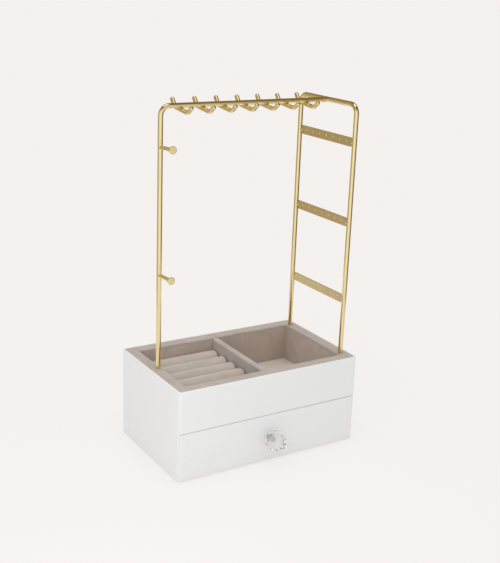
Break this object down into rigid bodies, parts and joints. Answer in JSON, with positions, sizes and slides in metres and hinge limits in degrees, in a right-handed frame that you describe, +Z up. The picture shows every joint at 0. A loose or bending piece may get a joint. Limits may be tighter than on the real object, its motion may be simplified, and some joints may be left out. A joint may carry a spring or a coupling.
{
  "type": "jewelry stand with drawer",
  "caption": "Lacquered box with a velvet ring tray on top and a pull-out drawer, under a bent-rod frame with necklace hooks, pegs and pierced earring strips.",
  "frame": {"origin": "on the underside of the felt, below the middle of the box", "axes": "+X to the right seen from the front, +Y to the back, +Z up; the drawer opens along -Y"},
  "size_m": [0.232, 0.168, 0.3994],
  "materials": {
    "lacquer": "white gloss lacquer on board",
    "board": "white painted board",
    "velvet": "taupe velvet over card or foam",
    "felt": "thin taupe felt",
    "gold": "polished gold plating",
    "insert_brass": "plain turned brass",
    "steel": "zinc-plated steel",
    "crystal": "clear faceted acrylic"
  },
  "bodies": {
    "case": {"side_panel_left": "lacquer", "side_panel_right": "lacquer", "back_panel": "lacquer", "front_rail": "lacquer", "base_panel": "board", "base_felt": "felt", "shelf_panel": "board", "tray_rim": "velvet", "lining_left": "velvet", "lining_right": "velvet", "lining_front": "velvet", "lining_back": "velvet", "tray_divider": "velvet", "floor_pad_left": "velvet", "floor_pad_right": "velvet", "ring_roll_1": "velvet", "ring_roll_2": "velvet", "ring_roll_3": "velvet", "ring_roll_4": "velvet", "ring_roll_5": "velvet", "left_post_bar": "gold", "right_frame": "gold", "bar_collar": "gold", "frame_screw": "steel", "threaded_inserts": "insert_brass", "earring_strip_1": "gold", "earring_strip_2": "gold", "earring_strip_3": "gold", "strip_pins": "gold", "peg_1": "gold", "peg_2": "gold", "hook_1": "gold", "hook_2": "gold", "hook_3": "gold", "hook_4": "gold", "hook_5": "gold", "hook_6": "gold", "hook_7": "gold"},
    "drawer": {"drawer_front": "lacquer", "drawer_side_left": "board", "drawer_side_right": "board", "drawer_back": "board", "drawer_bottom": "board", "drawer_floor_pad": "velvet", "drawer_lining_front": "velvet", "drawer_lining_back": "velvet", "drawer_lining_left": "velvet", "drawer_lining_right": "velvet", "drawer_knob": "crystal", "knob_screw": "steel"}
  },
  "joints": [
    {"name": "drawer_slide", "type": "slide", "parent": "case", "child": "drawer", "axis": [0, -1, 0], "range_m": [0, 0.09]}
  ]
}
